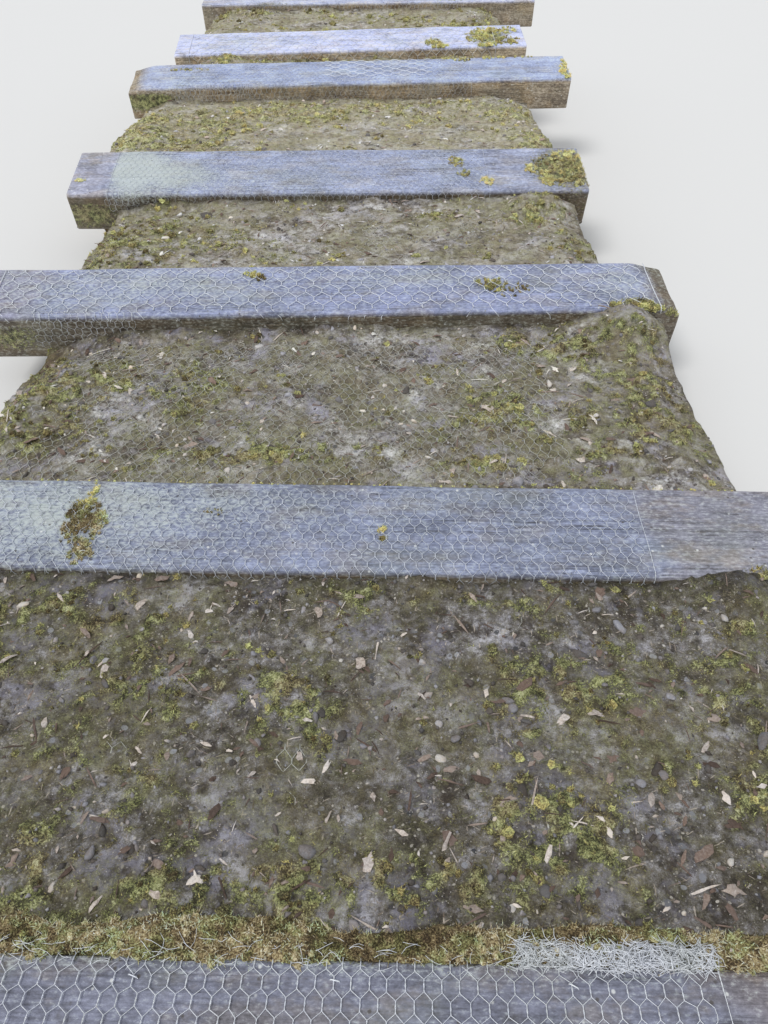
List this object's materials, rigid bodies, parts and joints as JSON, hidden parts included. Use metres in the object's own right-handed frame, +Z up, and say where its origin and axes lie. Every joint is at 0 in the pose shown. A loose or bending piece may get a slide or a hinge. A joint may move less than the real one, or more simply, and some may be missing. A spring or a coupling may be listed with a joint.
{
  "type": "mesh-covered outdoor steps",
  "caption": "Gentle flight of outdoor steps: squared timbers hold back packed-earth treads, with hexagonal wire netting laid over them for grip.",
  "frame": {"origin": "middle of the underside of the lowest timber, on the ground", "axes": "+Y up the flight, +X to the right of someone climbing it, +Z up"},
  "size_m": [2.2211, 5.9744, 0.5604],
  "materials": {
    "weathered_timber": "matte",
    "packed_earth": "matte",
    "galvanised_wire": "satin"
  },
  "bodies": {
    "root": {"riser_timber_1": "weathered_timber", "riser_timber_2": "weathered_timber", "riser_timber_3": "weathered_timber", "riser_timber_4": "weathered_timber", "riser_timber_5": "weathered_timber", "riser_timber_6": "weathered_timber", "riser_timber_7": "weathered_timber", "tread_fill_1": "packed_earth", "tread_fill_2": "packed_earth", "tread_fill_3": "packed_earth", "tread_fill_4": "packed_earth", "tread_fill_5": "packed_earth", "tread_fill_6": "packed_earth", "timber_netting_1": "galvanised_wire", "timber_netting_2": "galvanised_wire", "timber_netting_4": "galvanised_wire", "timber_netting_5": "galvanised_wire", "timber_netting_6": "galvanised_wire", "timber_netting_7": "galvanised_wire", "coarse_netting_3_top": "galvanised_wire", "coarse_netting_3_front": "galvanised_wire", "coarse_patch_5": "galvanised_wire", "tread_netting_1": "galvanised_wire", "tread_netting_2": "galvanised_wire", "tread_netting_3": "galvanised_wire", "tread_netting_4": "galvanised_wire", "tread_netting_5": "galvanised_wire", "tread_netting_6": "galvanised_wire"}
  },
  "joints": []
}
